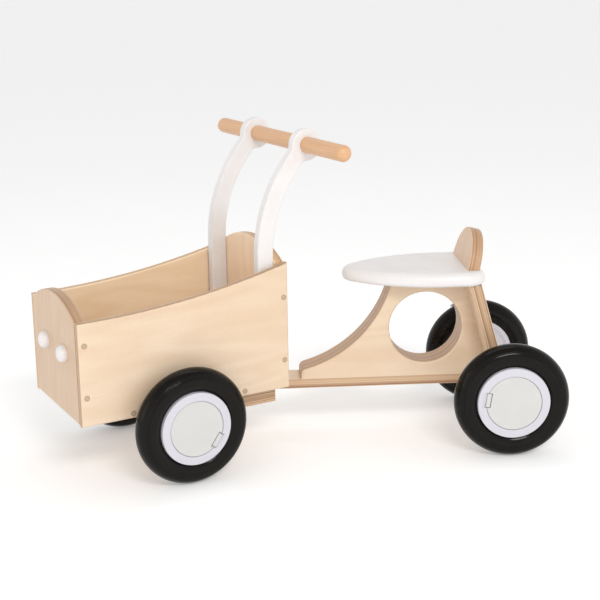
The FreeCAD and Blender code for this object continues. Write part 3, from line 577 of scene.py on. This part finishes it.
rim_plastic, n, shader = new_material("rim_plastic")
place = n.add("ShaderNodeTexCoord").outputs["Object"]
cloud = n.noise(place, 40.0, 2.0)
n.feed(shader["Base Color"], n.mix(cloud, (0.585, 0.575, 0.63), (0.615, 0.605, 0.655)))
n.feed(shader["Roughness"], n.math("MULTIPLY_ADD", cloud, 0.15, 0.3))

cap_plastic, n, shader = new_material("cap_plastic")
place = n.add("ShaderNodeTexCoord").outputs["Object"]
cloud = n.noise(place, 40.0, 2.0)
n.feed(shader["Base Color"], n.mix(cloud, (0.58, 0.575, 0.56), (0.615, 0.61, 0.595)))
n.feed(shader["Roughness"], n.math("MULTIPLY_ADD", cloud, 0.15, 0.36))

# The tyre's section, in millimetres, and in degrees round the section.
SECTION_MIDDLE = 66.5
SECTION_R = 18.5
BEAD_ANGLE = 141
SEAM_WIDTH = 1.2
SEAM_DEPTH = 0.3
FLANK_RINGS = (57, 67)
RING_WIDTH = 2.6
RING_DEPTH = 0.6
FINE_STEP = 0.6             # near the seam and the rings
COARSE_STEP = 3.0


def groove(angle, middle, width, depth):
    """How far a shallow round groove is sunk at this angle."""
    away = (angle - middle) / width
    return depth * max(0.0, 1 - away * away)


tyre_outline = []
angle = -BEAD_ANGLE
while angle <= BEAD_ANGLE:
    sunk = groove(abs(angle), 0, SEAM_WIDTH, SEAM_DEPTH)
    for ring in FLANK_RINGS:
        sunk += groove(abs(angle), ring, RING_WIDTH, RING_DEPTH)
    turn = math.radians(angle)
    radius = SECTION_R - sunk
    tyre_outline.append((SECTION_MIDDLE + radius * math.cos(turn), radius * math.sin(turn)))
    close = abs(angle) < 2 or 53 <= abs(angle) <= 71
    angle += FINE_STEP if close else COARSE_STEP


def rounded(corners, steps=6):
    """A closed outline of (r, w, rounding) corners, in millimetres, as plain points."""
    outline = []
    for i, (r, w, rounding) in enumerate(corners):
        here = Vector((r, w))
        if not rounding:
            outline.append(here)
            continue
        back = (Vector(corners[i - 1][:2]) - here).normalized()
        on = (Vector(corners[(i + 1) % len(corners)][:2]) - here).normalized()
        half = back.angle(on) / 2
        centre = here + (back + on).normalized() * rounding / math.sin(half)
        start = here + back * rounding / math.tan(half) - centre
        end = here + on * rounding / math.tan(half) - centre
        for k in range(steps + 1):
            outline.append(centre + start.slerp(end, k / steps))
    return outline


# Each corner is radius, place along the axle, and rounding, in millimetres.
RIM_OUTLINE = rounded([(8, -17, 0), (14, -17, 0.8), (14, -11, 2), (46, -11, 2.5), (46, -14, 1),
                       (53.5, -14, 1.2), (53.5, -11.5, 0), (52, -11.5, 0), (52, 12, 0),
                       (53.5, 12, 0), (53.5, 19, 1.4), (41.2, 19, 0.7), (41.2, 13.8, 0),
                       (36, 13.8, 0), (36, 5.5, 1), (14, 5.5, 1), (14, 7.5, 0), (8, 7.5, 0)])
CAP_OUTLINE = rounded([(0, 14.2, 0), (31, 14.2, 0), (40.2, 14.2, 0), (40.2, 18.4, 0.7),
                       (31, 18.4, 0), (0, 18.4, 0)])
CATCH_MIDDLE = 38.0
CATCH_SIZE = (6.4, 20.4)
CATCH_SPAN = (13.9, 18.7)   # along the axle, outward
CATCH_EDGE = 0.5
RECESS_SIZE = (8.4, 22.4)
RECESS_SPAN = (13.0, 21.0)
RECESS_EDGE = 0.3
CATCH_TURNS = {"rear_left": -9, "rear_right": 75, "front_left": 144, "front_right": 20}


def catch_block(name, wheel_middle, outward, spoke, size, span, edge):
    """A block beside the cap's rim, its corners rounded by edge, with span along the axle."""
    width, length = size
    low, high = span
    shape = bmesh.new()
    bmesh.ops.create_cube(shape, size=1.0)
    along = outward.cross(spoke)
    middle = wheel_middle + spoke * (CATCH_MIDDLE * MM) + outward * ((low + high) / 2 * MM)
    for vertex in shape.verts:
        x, y, z = vertex.co
        vertex.co = middle + (spoke * x * width + along * y * length + outward * z * (high - low)) * MM
    bmesh.ops.bevel(shape, geom=shape.edges, offset=edge * MM, segments=3, affect="EDGES", profile=0.5)
    bmesh.ops.recalc_face_normals(shape, faces=shape.faces)
    mesh = bpy.data.meshes.new(name)
    shape.to_mesh(mesh)
    shape.free()
    mesh.shade_smooth()
    mesh.set_sharp_from_angle(angle=math.radians(40))
    block = bpy.data.objects.new(name, mesh)
    scene.collection.objects.link(block)
    return block


def carve(piece, cutter, outward):
    """Cuts the cutter out of the piece for good; its faces square to the axle stay flat."""
    cut = piece.modifiers.new("cut", "BOOLEAN")
    cut.operation = "DIFFERENCE"
    cut.solver = "MANIFOLD"
    cut.object = cutter
    bpy.context.view_layer.update()
    depsgraph = bpy.context.evaluated_depsgraph_get()
    carved = bpy.data.meshes.new_from_object(piece.evaluated_get(depsgraph))
    piece.modifiers.clear()
    piece.data = carved
    for face in carved.polygons:
        face.use_smooth = abs(face.normal.dot(outward)) < 0.999


for place_name, turn in CATCH_TURNS.items():
    joint = joints["roll_" + place_name]
    side = 1 if place_name.endswith("left") else -1
    outward = (left if place_name.startswith("front") else Vector((0, 1, 0))) * side
    onward = outward.cross(UP) * side
    middle = Vector(joint["pos_m"])
    body = "wheel_" + place_name
    lathe_place = [(middle, outward, UP)]
    tyre = turned("solid_tyre_" + place_name, tyre_outline, lathe_place, 112, rubber, body)
    rim = turned("moulded_rim_" + place_name, RIM_OUTLINE, lathe_place, 96, rim_plastic, body)
    cap = turned("snap_cap_" + place_name, CAP_OUTLINE, lathe_place, 96, cap_plastic, body)
    spoke = onward * (math.cos(math.radians(turn)) * side) - UP * math.sin(math.radians(turn))
    recess = catch_block("catch_recess", middle, outward, spoke, RECESS_SIZE, RECESS_SPAN, RECESS_EDGE)
    carve(rim, recess, outward)
    carve(cap, recess, outward)
    bpy.data.objects.remove(recess)
    catch = catch_block("cap_catch_" + place_name, middle, outward, spoke, CATCH_SIZE, CATCH_SPAN,
                        CATCH_EDGE)
    catch.data.materials.append(cap_plastic)
    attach(catch, body)
    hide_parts("tyre_" + place_name)
    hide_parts("rim_" + place_name)
    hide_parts("hub_cap_" + place_name)
